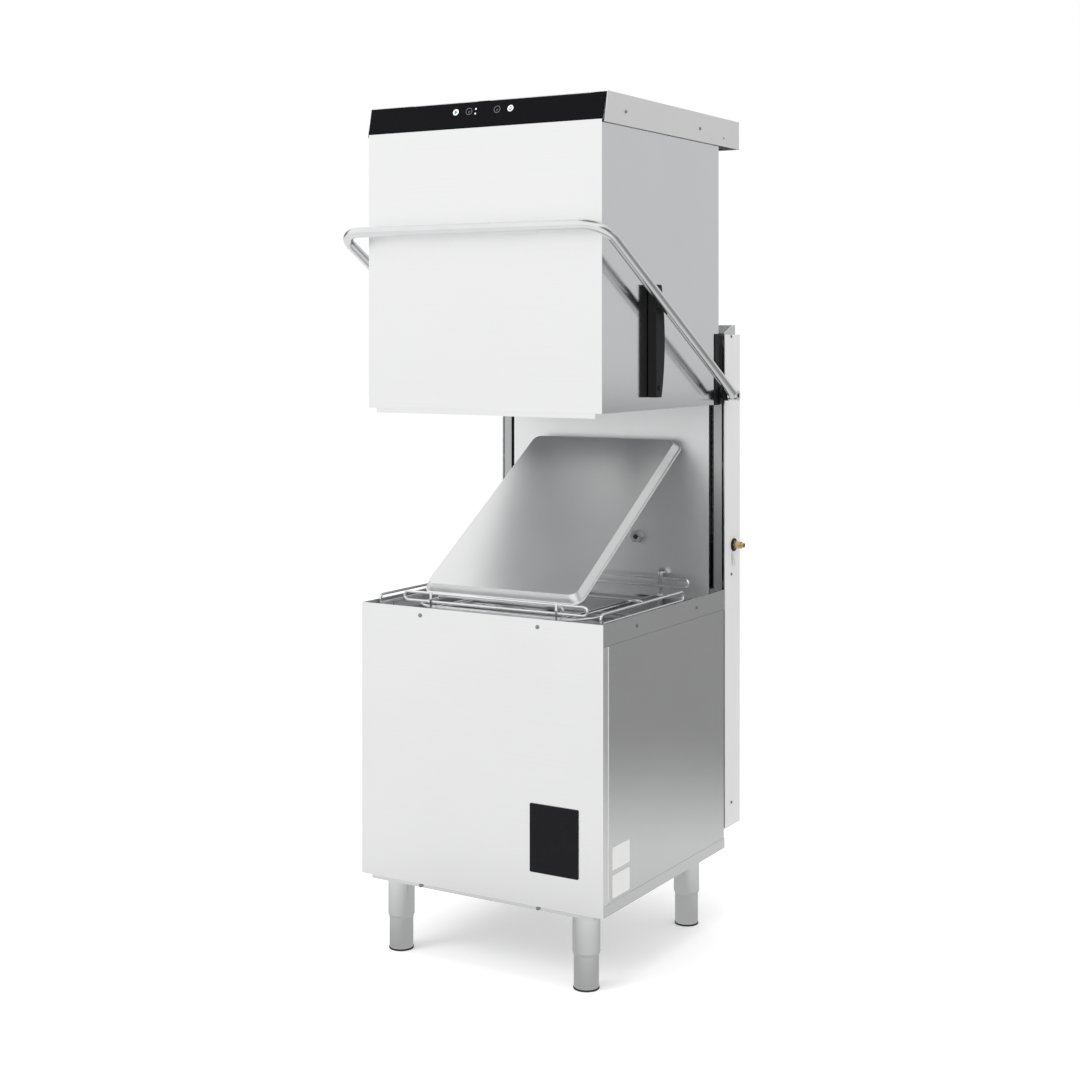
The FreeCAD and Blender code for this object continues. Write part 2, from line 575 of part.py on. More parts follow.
def link(side):
    """Swinging link: black channel in front, bowed steel cheek outside, bolt at the foot."""
    z0, z1 = LINK_LOW_Z - LINK_TAIL, LINK_TOP_Z + LINK_HEAD
    x0, x1 = LINK_X, LINK_X + LINK_W
    channel = box(x0, x1 - 3, LINK_Y - 17, LINK_Y + 11, z0, z1)
    channel = channel.cut(box(x0 + 3, x1 - 6, LINK_Y - 12, LINK_Y + 11, z0, z1))
    foot_y, belly_y = LINK_Y + 11, LINK_Y + 28
    middle = (z0 + z1) / 2
    bow = Part.Arc(V(x1 - 3, foot_y, z0), V(x1 - 3, belly_y, middle), V(x1 - 3, foot_y, z1)).toShape()
    front_y = LINK_Y - 17
    flat = Part.makePolygon([V(x1 - 3, foot_y, z1), V(x1 - 3, front_y, z1), V(x1 - 3, front_y, z0),
                             V(x1 - 3, foot_y, z0)])
    cheek = Part.Face(Part.Wire([bow] + flat.Edges)).extrude(V(3, 0, 0))
    bolt = rod((x1 - 10, LINK_Y, LINK_LOW_Z), (x1 + 2.2, LINK_Y, LINK_LOW_Z), 6)
    hole = rod((x0 - 1, LINK_Y, LINK_TOP_Z), (x1 + 1, LINK_Y, LINK_TOP_Z), 5 + RUN_GAP)
    body = fuse(channel, cheek, bolt).cut(hole)
    return body if side > 0 else mirrored(body)


# ---- spray system -----------------------------------------------------------------------
def spray_arm(z, thick, radius, width, hub_r, bore_r):
    """A flat arm with tapered wings, a hub and a row of jets on top."""
    tip = width * 0.6
    points = [(-radius, -tip / 2, z), (0, -width / 2, z), (radius, -tip / 2, z),
              (radius, tip / 2, z), (0, width / 2, z), (-radius, tip / 2, z)]
    wing = outline(points, (0, 0, thick))
    wing.translate(V(0, SPRAY_Y, 0))
    hub = rod((0, SPRAY_Y, z - 1), (0, SPRAY_Y, z + thick + 1), hub_r)
    jets = [rod((x, SPRAY_Y, z + thick), (x, SPRAY_Y, z + thick + 1.2), 4)
            for x in [side * radius * step / 5 for side in (-1, 1) for step in (1.6, 2.4, 3.2, 4.0, 4.7)]]
    arm = fuse(wing, hub, *jets)
    return arm.cut(rod((0, SPRAY_Y, z - 5), (0, SPRAY_Y, z + thick + 5), bore_r + RUN_GAP))


SPINDLE_R = 9.0
LOWER_TOP_Z = 838.0


def lower_manifold():
    """Pump outlet, cross pipe and the post that carries the lower arms."""
    outer = fuse(rod((0, PUMP_Y, PUMP_Z + 90), (0, PUMP_Y, LOWER_PIPE_Z), PIPE_R),
                 Part.makeSphere(PIPE_R, V(0, PUMP_Y, LOWER_PIPE_Z)),
                 rod((0, PUMP_Y, LOWER_PIPE_Z), (0, RISER_Y - 40, LOWER_PIPE_Z), PIPE_R),
                 rod((0, SPRAY_Y, LOWER_PIPE_Z), (0, SPRAY_Y, 806), PIPE_R))
    r = PIPE_R - PIPE_WALL
    inner = fuse(rod((0, PUMP_Y, PUMP_Z + 90), (0, PUMP_Y, LOWER_PIPE_Z), r),
                 Part.makeSphere(r, V(0, PUMP_Y, LOWER_PIPE_Z)),
                 rod((0, PUMP_Y, LOWER_PIPE_Z), (0, RISER_Y - 40, LOWER_PIPE_Z), r),
                 rod((0, SPRAY_Y, LOWER_PIPE_Z), (0, SPRAY_Y, 800), r))
    spindle = rod((0, SPRAY_Y, 806), (0, SPRAY_Y, LOWER_TOP_Z), SPINDLE_R)
    cap = rod((0, SPRAY_Y, LOWER_TOP_Z), (0, SPRAY_Y, LOWER_TOP_Z + 6), 13)
    return fuse(outer, spindle, cap).cut(inner)


def riser_pipe():
    """From the cross pipe up behind the wall, forward to the post for the upper arms."""
    path = [(0, RISER_Y - 40, LOWER_PIPE_Z), (0, RISER_Y - 2, LOWER_PIPE_Z),
            (0, RISER_Y - 2, UPPER_PIPE_Z), (0, SPRAY_Y, UPPER_PIPE_Z)]
    end = rod((0, SPRAY_Y, UPPER_PIPE_Z - 28), (0, SPRAY_Y, UPPER_PIPE_Z + PIPE_R), PIPE_R)
    spindle = rod((0, SPRAY_Y, UPPER_PIPE_Z - 66), (0, SPRAY_Y, UPPER_PIPE_Z - 28), SPINDLE_R)
    nut = rod((0, SPRAY_Y, UPPER_PIPE_Z - 72), (0, SPRAY_Y, UPPER_PIPE_Z - 66), 13)
    collar = rod((0, WALL_Y - 6, UPPER_PIPE_Z), (0, WALL_Y, UPPER_PIPE_Z), PIPE_R + 10)
    core = fuse(*[rod(a, b, PIPE_R - PIPE_WALL) for a, b in zip(path, path[1:])])
    return fuse(mitred(path, PIPE_R, PIPE_WALL), end, spindle, nut, collar).cut(core)


def rinse_pipe():
    """Rinse feed from the wall, down and forward under the lower arms."""
    x, y, z = UNION_X, WALL_Y - 24, 788
    path = [(x, WALL_Y, UNION_Z), (x, y, UNION_Z), (x, y, z), (x, SPRAY_Y, z), (PIPE_R, SPRAY_Y, z)]
    return mitred(path, 7, 1.5)


def wall_fittings():
    nuts = []
    for x, z, across in ((NOZZLE_X, NOZZLE_Z, 30), (UNION_X, UNION_Z, 26)):
        nut = hexagon((x, WALL_Y, z), (x, WALL_Y - 12, z), across)
        nuts.append(nut.cut(rod((x, WALL_Y - 13, z), (x, WALL_Y + 1, z), 7 + RUN_GAP)))
    return Part.makeCompound(nuts)


VALVE_IN = COLUMN_OUT - 13.0


def water_pipes():
    y = INLET_Y
    supply = mitred([(VALVE_IN, y, INLET_Z), (250, y, INLET_Z), (250, y, 450), (250, 515, 450)], 6, 1)
    fill = mitred([(120, 550, 535), (120, 690, 535), (NOZZLE_X, 690, 600), (NOZZLE_X, 690, NOZZLE_Z),
                   (NOZZLE_X, WALL_Y, NOZZLE_Z)], 6, 1)
    rinse = mitred([(190, 550, 535), (190, 690, 535), (UNION_X, 690, 600), (UNION_X, 690, UNION_Z),
                    (UNION_X, WALL_Y, UNION_Z)], 6, 1)
    drain = mitred([(230, 560, TANK_FLOOR - SHEET), (230, 560, 575), (290, 560, 575), (290, 480, 575),
                    (290, 480, BASE_UNDERSIDE - 8)], 16, 2)
    return Part.makeCompound([supply, fill, rinse, drain])


def heater_element():
    rods = bent([(-220, 49, 640), (-220, 560, 640), (-120, 560, 640), (-120, 49, 640)], 40, 4)
    flange = box(-245, -95, LEDGE_FRONT, 49, 620, 660)
    return fuse(rods, flange)


def pump_housing():
    x0, x1 = PUMP_X - 30, PUMP_X + 30
    outer = rod((x0, PUMP_Y, PUMP_Z), (x1, PUMP_Y, PUMP_Z), 85)
    cavity = rod((x0, PUMP_Y, PUMP_Z), (x1 - 6, PUMP_Y, PUMP_Z), 77)
    inlet = rod((x1 - 6, PUMP_Y, PUMP_Z), (x1, PUMP_Y, PUMP_Z), 18)
    spout = rod((0, PUMP_Y, PUMP_Z + 70), (0, PUMP_Y, PUMP_Z + 90), PIPE_R)
    duct = rod((0, PUMP_Y, PUMP_Z + 60), (0, PUMP_Y, PUMP_Z + 90), PIPE_R - PIPE_WALL)
    return fuse(outer.cut(cavity), spout).cut(inlet).cut(duct)


def pump_motor():
    x1 = PUMP_X - 30
    flange = rod((x1 - 8, PUMP_Y, PUMP_Z), (x1, PUMP_Y, PUMP_Z), 85)
    can = rod((x1 - 228, PUMP_Y, PUMP_Z), (x1 - 8, PUMP_Y, PUMP_Z), 70)
    fins = [box(x1 - 210, x1 - 30, PUMP_Y + y - 2, PUMP_Y + y + 2, PUMP_Z - 80, PUMP_Z + 80)
            for y in range(-45, 46, 15)]
    top = BASE_UNDERSIDE + PLATE
    foot_plate = box(x1 - 110, x1 - 20, PUMP_Y - 60, PUMP_Y + 60, top, top + 4)
    web = box(x1 - 110, x1 - 30, PUMP_Y - 6, PUMP_Y + 6, top, PUMP_Z - 60)
    bore = rod((x1 - 90, PUMP_Y, PUMP_Z), (x1 + 1, PUMP_Y, PUMP_Z), 7 + RUN_GAP)
    return fuse(flange, can, *fins, foot_plate, web).cut(bore)


def impeller():
    x1 = PUMP_X - 30
    shaft = rod((x1 - 86, PUMP_Y, PUMP_Z), (x1 + 40, PUMP_Y, PUMP_Z), 7)
    disc = rod((x1 + 6, PUMP_Y, PUMP_Z), (x1 + 10, PUMP_Y, PUMP_Z), 68)
    vanes = [outline([(x1 + 10, PUMP_Y - 2, PUMP_Z + 20), (x1 + 10, PUMP_Y + 2, PUMP_Z + 20),
                      (x1 + 10, PUMP_Y + 12, PUMP_Z + 62), (x1 + 10, PUMP_Y + 8, PUMP_Z + 62)], (26, 0, 0))]
    wheel = [vanes[0].copy() for _ in range(6)]
    for i, vane in enumerate(wheel):
        vane.rotate(V(0, PUMP_Y, PUMP_Z), V(1, 0, 0), 60 * i)
    return fuse(shaft, disc, *wheel)


def pump_inlet():
    floor = TANK_FLOOR - SUMP_DEPTH - SHEET
    path = [(SUMP_X, SUMP_Y, floor), (SUMP_X, SUMP_Y, PUMP_Z), (PUMP_X + 30, PUMP_Y, PUMP_Z)]
    return mitred(path, PIPE_R, PIPE_WALL)


def booster_tank():
    x, y, z0, z1 = 170, 460, BASE_UNDERSIDE + PLATE, 500
    shell = rod((x, y, z0), (x, y, z1), 90).cut(rod((x, y, z0 + SHEET), (x, y, z1 - SHEET), 90 - SHEET))
    block = box(x - 62, x + 36, y - 12, y + 90, z1, 547)
    bores = [rod((x - 50, y, z1 - 5), (x - 50, y, 535), 5), rod((x - 50, y, 535), (x - 50, y + 95, 535), 5),
             rod((x + 20, y, z1 - 5), (x + 20, y, 535), 5), rod((x + 20, y, 535), (x + 20, y + 95, 535), 5)]
    inlet = box(x + 62, x + 92, y + 20, y + 55, 440, 460)
    bores += [rod((x + 80, y + 56, 450), (x + 80, y + 30, 450), 5),
              rod((x + 80, y + 30, 450), (x + 70, y + 30, 450), 5)]
    return fuse(shell, inlet, block).cut(Part.makeCompound(bores))


def control_box():
    x0, x1, y0, y1, z0, z1 = -HALF_W + 14, -HALF_W + 74, 130, 560, 300, 520
    hollow = box(x0, x1 - SHEET, y0 + SHEET, y1 - SHEET, z0 + SHEET, z1 - SHEET)
    shell = box(x0, x1, y0, y1, z0, z1).cut(hollow)
    stand = box(x0 + 10, x1 - 10, y0 + 20, y0 + 60, BASE_UNDERSIDE + PLATE, z0)
    stand_2 = box(x0 + 10, x1 - 10, y1 - 60, y1 - 20, BASE_UNDERSIDE + PLATE, z0)
    return fuse(shell, stand, stand_2)


def inlet_valve():
    y, z, mouth = INLET_Y, INLET_Z, HALF_W + 31
    body = rod((VALVE_IN, y, z), (mouth, y, z), 6.5)
    barrel = rod((mouth - 22, y, z), (mouth - 8, y, z), 9.5)
    return fuse(body, barrel).cut(rod((VALVE_IN - 1, y, z), (mouth + 1, y, z), 4))


# ---- inside the wash chamber ------------------------------------------------------------
def stadium(y, z0, z1):
    """Double-wire end rail: an upright loop with half-round ends."""
    r = (z1 - z0) / 2
    x = TRACK_LOOP_X
    points = [(-x, y, z0), (x, y, z0), (x, y, z1), (-x, y, z1)]
    return bent(points, r - 0.001, WIRE_D / 2, 0, True)


def track_rails():
    solids = []
    for y, out in ((TRACK_FRONT_Y, -1), (TRACK_REAR_Y, 1)):
        loop = stadium(y, 868, 889)
        bearer = wide(TANK_HALF + 26, y - 5.5, y + 5.5, LEDGE_Z, LEDGE_Z + 6)
        near, far = sorted((y + out * 3, y + out * 5.5))
        straps = [box(x - 3, x + 3, near, far, LEDGE_Z, 893) for x in (-RUNNER_X, RUNNER_X)]
        solids.append(fuse(loop, bearer, *straps))
    for side in (-1, 1):
        x = side * TRACK_X
        r = 10.999
        points = [(x, 40, 858), (x, 470, 858), (x, 470, 880), (x, 40, 880)]
        loop = bent(points, r, WIRE_D / 2, 0, True)
        posts = [rod((x, y, LEDGE_Z), (x, y, 858), WIRE_D / 2) for y in (100, 420)]
        solids.append(fuse(loop, *posts))
    return Part.makeCompound(solids)


def rack_runners():
    runner = box(RUNNER_X - 6, RUNNER_X + 6, TRACK_FRONT_Y - 3, TRACK_REAR_Y + 3, LEDGE_Z + 6, LEDGE_Z + 12)
    return both_sides(runner)


def tray_rack():
    """Wire carrier with round corners, two bow wires and a bent stop at its front."""
    z = LEDGE_Z + 12 + WIRE_D / 2 + 2
    frame = bent([(-247, 80, z), (247, 80, z), (247, 430, z), (-247, 430, z)], 60, WIRE_D / 2 + 0.5, 0, True)
    bars = [box(x - 2, x + 2, 80, 430, LEDGE_Z + 12, z) for x in (-RUNNER_X, RUNNER_X)]
    y = FOOT_BEAD_Y
    stop = bent([(-RUNNER_X, y, z), (-RUNNER_X, y, STOP_Z), (RUNNER_X, y, STOP_Z), (RUNNER_X, y, z)], 10, 3)
    return fuse(frame, stop, *bars)


def slab(half, margin, z):
    """Rectangle of the tray's outline, drawn in from its ends by the margin."""
    end = TRAY_L - margin
    pts = [V(-half, margin, z), V(half, margin, z), V(half, end, z), V(-half, end, z)]
    return Part.makePolygon(pts + [pts[0]])


def round_corners(block, radius):
    upright = [e for e in block.Edges if abs(e.Vertexes[0].Z - e.Vertexes[1].Z) > 5]
    return block.makeFillet(radius, upright).Solids[0]


def tray():
    """Shallow sheet pan lying tilted, open side down: its foot on the carrier, its head on the wall."""
    top_half, rim_half = TRAY_W / 2 - 14, TRAY_W / 2 - 4
    rim = TRAY_BEAD_R
    flare = (rim_half - top_half) / (TRAY_DEPTH - rim)
    outer = Part.makeLoft([slab(rim_half, 4, rim), slab(top_half, 14, TRAY_DEPTH)], True)
    inset = TRAY_SHEET * (1 - flare)
    inner = Part.makeLoft([slab(rim_half - inset, 4 + inset, rim - TRAY_SHEET),
                           slab(top_half - inset, 14 + inset, TRAY_DEPTH - TRAY_SHEET)], True)
    shell = round_corners(outer, 24).cut(round_corners(inner, 24 - TRAY_SHEET))
    side, end = TRAY_W / 2 - rim, TRAY_L - rim
    bead = bent([(-side, rim, rim), (side, rim, rim), (side, end, rim), (-side, end, rim)], 28, rim, 0, True)
    body = fuse(shell, bead)
    body.rotate(V(0, 0, 0), V(1, 0, 0), TRAY_TILT)
    run, lift = math.cos(TRAY_SLOPE), math.sin(TRAY_SLOPE)
    body.translate(V(0, FOOT_BEAD_Y - TRAY_BEAD_R * (run - lift), FOOT_BEAD_Z - TRAY_BEAD_R * (run + lift)))
    return body


def scrap_screen():
    """Flat screen over the tank with a basket hole and a pattern of slots."""
    x1 = TANK_HALF - 4
    plate = wide(x1, LEDGE_FRONT + 4, TANK_REAR - 4, 770, 771.5)
    holes = [rod((0, SPRAY_Y, 760), (0, SPRAY_Y, 780), PIPE_R + 3),
             box(SUMP_X - 76, SUMP_X + 76, SUMP_Y - 76, SUMP_Y + 76, 760, 780)]
    slots = [box(x, x + 40, y, y + 5, 760, 780) for x in range(-270, 220, 60)
             for y in range(70, 620, 24) if abs(y - SPRAY_Y) > 60 and not (y < 300 and x > 10)]
    return plate.cut(Part.makeCompound(holes + slots))


def scrap_basket():
    outer = box(SUMP_X - 74, SUMP_X + 74, SUMP_Y - 74, SUMP_Y + 74, 690, 773)
    inner = box(SUMP_X - 72.5, SUMP_X + 72.5, SUMP_Y - 72.5, SUMP_Y + 72.5, 691.5, 773)
    rim = box(SUMP_X - 84, SUMP_X + 84, SUMP_Y - 84, SUMP_Y + 84, 771.8, 773)
    slots = [box(SUMP_X - 80, SUMP_X + 80, SUMP_Y + y, SUMP_Y + y + 5, 705, 755) for y in range(-60, 60, 15)]
    return fuse(outer, rim).cut(inner).cut(Part.makeCompound(slots))


def overflow_tube():
    tube = rod((230, 560, TANK_FLOOR + 0.3), (230, 560, 750), 18)
    bore = rod((230, 560, TANK_FLOOR + 12), (230, 560, 751), 16)
    plug = rod((230, 560, TANK_FLOOR - 6), (230, 560, TANK_FLOOR + 12), 13.6)
    return fuse(tube.cut(bore), plug)


def build():
    os.makedirs("parts", exist_ok=True)
    save("base_frame", base_frame())
    save("front_panel", front_panel())
    save("side_panel_right", side_panel())
    save("side_panel_left", mirrored(side_panel()))
    save("rear_panel", rear_panel())
    save("tank_rim", tank_rim())
    save("wash_tank", wash_tank())
    save("leg_tubes", leg_tubes())
    for side, x in (("left", -LEG_X), ("right", LEG_X)):
        save("foot_front_" + side, foot(x, LEG_FRONT_Y))
        save("foot_rear_" + side, foot(x, LEG_REAR_Y))
    save("name_plate", name_plate())
    save("panel_screws", panel_screws())
    save("column_frame", column_frame())
    save("back_wall", back_wall())
    save("guide_strips", guide_strips())
    save("rear_duct", rear_duct())
    save("rear_cover", rear_cover())
    save("pivot_brackets", pivot_brackets())
    save("counter_springs", counter_springs())
    save("hood_front", hood_front())
    save("hood_side_right", hood_side())
    save("hood_side_left", mirrored(hood_side()))
    save("hood_ceiling", hood_ceiling())
    save("hood_cap", hood_cap())
    save("fascia", fascia())
    save("start_button", push_button(-BUTTON_X))
    save("power_button", push_button(BUTTON_X))
    save("control_board", control_board())
    save("guide_shoes", guide_shoes())
    save("carriages", carriages())
    save("hood_screws", hood_screws())
    save("handle", Part.makeCompound([handle(), link_pin(1), link_pin(-1)]))
    save("link_right", link(1))
    save("link_left", link(-1))
    save("lower_wash_arm", spray_arm(812, 11, WASH_ARM_R, 60, 24, SPINDLE_R))
    save("lower_rinse_arm", spray_arm(828, 5, RINSE_ARM_R, 26, 16, SPINDLE_R))
    save("upper_wash_arm", spray_arm(UPPER_PIPE_Z - 46, 11, WASH_ARM_R, 60, 24, SPINDLE_R))
    save("upper_rinse_arm", spray_arm(UPPER_PIPE_Z - 60, 5, RINSE_ARM_R, 26, 16, SPINDLE_R))
    save("lower_manifold", lower_manifold())
    save("riser_pipe", riser_pipe())
    save("rinse_pipe", rinse_pipe())
    save("wall_fittings", wall_fittings())
    save("water_pipes", water_pipes())
    save("heater_element", heater_element())
    save("pump_housing", pump_housing())
    save("pump_motor", pump_motor())
    save("impeller", impeller())
    save("pump_inlet", pump_inlet())
    save("booster_tank", booster_tank())
    save("control_box", control_box())
    save("inlet_valve", inlet_valve())
    save("track_rails", track_rails())
    save("rack_runners", rack_runners())
    save("tray_rack", tray_rack())
    save("tray", tray())
    save("scrap_screen", scrap_screen())
    save("scrap_basket", scrap_basket())
    save("overflow_tube", overflow_tube())


build()
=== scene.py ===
# %% [markdown]
# # A hood-type warewashing machine
# The engineering model gives every body of the machine at its true size. This lesson dresses it:
# each piece gets a finish that belongs to its metal or plastic, and the small marks, labels and
# seals that are too fine for the engineering model are added as pieces of their own. A plain
# studio and a camera follow at the end.

# %% Load the frame
import json
import math

import bpy
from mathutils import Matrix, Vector


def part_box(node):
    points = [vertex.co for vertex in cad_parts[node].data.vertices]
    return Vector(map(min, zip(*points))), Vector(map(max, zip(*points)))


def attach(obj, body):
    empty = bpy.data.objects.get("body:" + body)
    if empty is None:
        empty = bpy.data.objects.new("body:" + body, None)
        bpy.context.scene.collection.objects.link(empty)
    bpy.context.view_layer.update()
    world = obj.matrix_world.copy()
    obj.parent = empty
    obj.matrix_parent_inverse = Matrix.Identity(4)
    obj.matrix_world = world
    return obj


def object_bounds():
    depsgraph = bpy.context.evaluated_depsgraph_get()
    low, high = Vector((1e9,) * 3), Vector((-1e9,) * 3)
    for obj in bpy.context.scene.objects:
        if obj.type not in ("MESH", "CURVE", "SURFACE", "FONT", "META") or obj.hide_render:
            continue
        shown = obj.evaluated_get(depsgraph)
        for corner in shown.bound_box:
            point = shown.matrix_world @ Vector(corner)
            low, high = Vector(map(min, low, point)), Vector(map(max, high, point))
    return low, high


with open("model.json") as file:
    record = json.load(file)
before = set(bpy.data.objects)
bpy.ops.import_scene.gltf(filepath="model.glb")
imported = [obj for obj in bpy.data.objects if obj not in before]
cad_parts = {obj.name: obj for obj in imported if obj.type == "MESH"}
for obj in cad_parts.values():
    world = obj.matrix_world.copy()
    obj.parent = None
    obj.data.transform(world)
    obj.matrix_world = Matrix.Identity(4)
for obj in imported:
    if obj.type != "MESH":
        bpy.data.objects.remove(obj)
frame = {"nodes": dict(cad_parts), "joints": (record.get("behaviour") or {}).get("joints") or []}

cad_low, cad_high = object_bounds()
nodes = frame["nodes"]
print("nodes", len(nodes), "box", [round(v, 3) for v in cad_high - cad_low])

# %% [markdown]
# ## Where things are
# Every place below is measured from the frame, so a changed cabinet or hood carries the marks
# along. The buttons' travel axis points into the sloping fascia, so its opposite is the slope's
# outward normal, and the direction up the slope follows from it.

# %% Measure the faces that marks sit on
MM = 0.001
FRONT_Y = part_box("front_panel")[0].y
FLOOR_Z = cad_low.z
RIM_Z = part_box("tank_rim")[1].z
SIDE_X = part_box("side_panel_right")[1].x
press = next(j for j in frame["joints"] if j["name"] == "start_press")
OUT = -Vector(press["axis"]).normalized()
UP = OUT.cross(Vector((1, 0, 0))) * -1
SLOPE_TURN = math.atan2(-OUT.y, OUT.z)


def front_plane(node):
    """Distance along the fascia's normal of a node's outermost point."""
    return max(v.co.dot(OUT) for v in nodes[node].data.vertices)


def middle(node):
    low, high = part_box(node)
    return (low + high) / 2


def on_slope(x, anchor, plane, up=0.0):
    """A point at x, level with the anchor along the slope, on the plane at that distance."""
    level = anchor.dot(UP) + up
    return Vector((x, 0, 0)) + UP * level + OUT * plane


FASCIA = front_plane("fascia")
print("slope turn", round(math.degrees(SLOPE_TURN), 1), "fascia plane", round(FASCIA, 4))

# %% [markdown]
# ## Shader maths as expressions
# A finish is easiest to read as a formula. This small class wraps one socket, and adding or
# multiplying two wrapped sockets adds the Math node that does it.

# %% Wrap a socket
class Wire:
    """One output socket that can be used in arithmetic."""

    def __init__(self, finish, socket):
        self.finish, self.socket = finish, socket

    def maths(self, operation, first, second):
        return self.finish.node("ShaderNodeMath", {"operation": operation}, {0: first, 1: second})

    def __add__(self, other):
        return self.maths("ADD", self, other)

    def __sub__(self, other):
        return self.maths("SUBTRACT", self, other)

    def __rsub__(self, other):
        return self.maths("SUBTRACT", other, self)

    def __mul__(self, other):
        return self.maths("MULTIPLY", self, other)

    __radd__ = __add__
    __rmul__ = __mul__


# %% Build a finish
class Finish:
    """A material, or the world, whose nodes are added by one method."""

    def __init__(self, name, owner=None):
        self.owner = owner or bpy.data.materials.new(name)
        self.owner.use_nodes = True
        self.tree = self.owner.node_tree
        self.tree.nodes.clear()

    def node(self, kind, settings=None, inputs=None, out=0):
        made = self.tree.nodes.new(kind)
        for key, value in (settings or {}).items():
            if key == "stops":
                self.set_stops(made.color_ramp, value)
            else:
                setattr(made, key, value)
        for key, value in (inputs or {}).items():
            if isinstance(value, Wire):
                self.tree.links.new(value.socket, made.inputs[key])
            else:
                made.inputs[key].default_value = value
        return Wire(self, made.outputs[out])

    def set_stops(self, ramp, stops):
        while len(ramp.elements) < len(stops):
            ramp.elements.new(1.0)
        for element, (place, tone) in zip(ramp.elements, stops):
            element.position, element.color = place, (tone, tone, tone, 1)

    def place(self):
        return self.node("ShaderNodeTexCoord", out="Object")

    def stretched(self, scale):
        return self.node("ShaderNodeMapping", {}, {"Vector": self.place(), "Scale": scale})

    def noise(self, scale, at=None, detail=3.0, rough=0.5):
        return self.node("ShaderNodeTexNoise", {},
                         {"Vector": at or self.place(), "Scale": scale,
                          "Detail": detail, "Roughness": rough})

    def spread(self, value, low, high, start=0.0, end=1.0):
        """The value, taken from its own range to another one and held inside it."""
        return self.node("ShaderNodeMapRange", {"clamp": True},
                         {"Value": value, "From Min": start, "From Max": end, "To Min": low, "To Max": high})

    def shade(self, colour, amount):
        """The colour, darkened or lightened by an amount around one."""
        grey = self.node("ShaderNodeCombineColor", {}, {0: amount, 1: amount, 2: amount})
        return self.node("ShaderNodeMix", {"data_type": "RGBA", "blend_type": "MULTIPLY"},
                         {0: 1.0, 6: colour, 7: grey}, out=2)

    def between(self, mask, first, second):
        return self.node("ShaderNodeMix", {"data_type": "RGBA"}, {0: mask, 6: first, 7: second}, out=2)

    def bump(self, height, depth, strength=1.0):
        return self.node("ShaderNodeBump", {}, {"Height": height, "Distance": depth, "Strength": strength})

    def surface(self, **values):
        inputs = {name.replace("_", " "): value for name, value in values.items()}
        shader = self.node("ShaderNodeBsdfPrincipled", {}, inputs)
        self.output(shader)
        return self.owner

    def output(self, shader):
        end = self.tree.nodes.new("ShaderNodeOutputMaterial")
        self.tree.links.new(shader.socket, end.inputs["Surface"])


def rgb(*tone):
    return (*tone, 1.0)


# %% [markdown]
# ## Brushed stainless
# Sheet steel is ground with a belt, so its scratches run one way. Noise that is stretched along
# the grain and tight across it gives the scratches, and it drives roughness, a little tone and a
# very shallow bump. A second, broad noise is the film that hands and steam leave.

# %% Brushed sheet
GRAIN_FINE = 520.0
GRAIN_LONG = 3.0


def brushed(name, tone, rough, along="x", depth=0.000008, metal=1.0, film=0.05):
    steel = Finish(name)
    scale = {"x": (GRAIN_LONG, GRAIN_FINE, GRAIN_FINE), "y": (GRAIN_FINE, GRAIN_LONG, GRAIN_FINE),
             "z": (GRAIN_FINE, GRAIN_FINE, GRAIN_LONG)}[along]
    scratch = steel.noise(1.0, steel.stretched(scale), detail=4.0, rough=0.62)
    broad = steel.noise(2.6, detail=4.0, rough=0.55)
    speck = steel.noise(34.0, detail=2.0)
    tint = steel.spread(scratch, 0.978, 1.012, 0.25, 0.75) * steel.spread(broad, 0.98, 1.01, 0.3, 0.7)
    scuffs = steel.spread(scratch, rough * 0.88, rough * 1.12, 0.3, 0.7)
    gloss = scuffs + steel.spread(broad, 0.0, film, 0.45, 0.75)
    gloss = gloss + steel.spread(speck, 0.0, film * 0.3, 0.55, 0.8)
    return steel.surface(Base_Color=steel.shade(rgb(*tone), tint), Metallic=metal, Roughness=gloss,
                         Normal=steel.bump(scratch, depth, 0.2))


PANEL = (0.80, 0.805, 0.81)
front_steel = brushed("Front_sheet_grained_across", (0.94, 0.942, 0.946), 0.34)
side_steel = brushed("Side_sheet_grained_along", PANEL, 0.20, "y")
hood_side_steel = brushed("Hood_side_bright_sheet", (0.79, 0.80, 0.81), 0.13, "y", film=0.06)
upright_steel = brushed("Upright_sheet_grained_up", PANEL, 0.26, "z")
inner_steel = brushed("Chamber_sheet", (0.90, 0.905, 0.91), 0.42, "z")
tank_steel = brushed("Tank_sheet", (0.60, 0.61, 0.62), 0.32, "y")
frame_steel = brushed("Frame_plate", (0.50, 0.505, 0.51), 0.38)
cover_steel = brushed("Rear_cover_pale_sheet", (0.90, 0.90, 0.90), 0.50, "z", metal=0.15, film=0.05)
# Near-white and barely metallic: a painted highlight for the bright line along each fold.
fold_painted_highlight = brushed("Folded_edge_painted_highlight_sheet", (0.96, 0.96, 0.96), 0.45, "z", metal=0.3)
cap_steel = brushed("Cap_sheet", (0.93, 0.932, 0.935), 0.34, "y")
pan_steel = brushed("Pan_satin_sheet", (0.95, 0.952, 0.955), 0.36, "y", film=0.08)
print("sheet finishes", len([m for m in bpy.data.materials if "heet" in m.name]))

# %% [markdown]
# ## Polished tube and bright wire
# Tubes are polished on a lathe: the marks run round them and the shine is high. Drawn wire is
# brighter still, with faint drawing lines and a slight waviness.

# %% Tubes and wires
def polished(name, tone, rough, wave=0.00004, lines=260.0):
    tube = Finish(name)
    ripple = tube.noise(1.0, tube.stretched((2.0, 2.0, lines)), detail=3.0)
    soft = tube.noise(7.0, detail=2.0)
    tint = tube.shade(rgb(*tone), tube.spread(soft, 0.95, 1.03, 0.3, 0.7))
    return tube.surface(Base_Color=tint, Metallic=1.0,
                        Roughness=tube.spread(ripple, rough * 0.85, rough * 1.2, 0.3, 0.7),
                        Normal=tube.bump(soft, wave, 0.3))


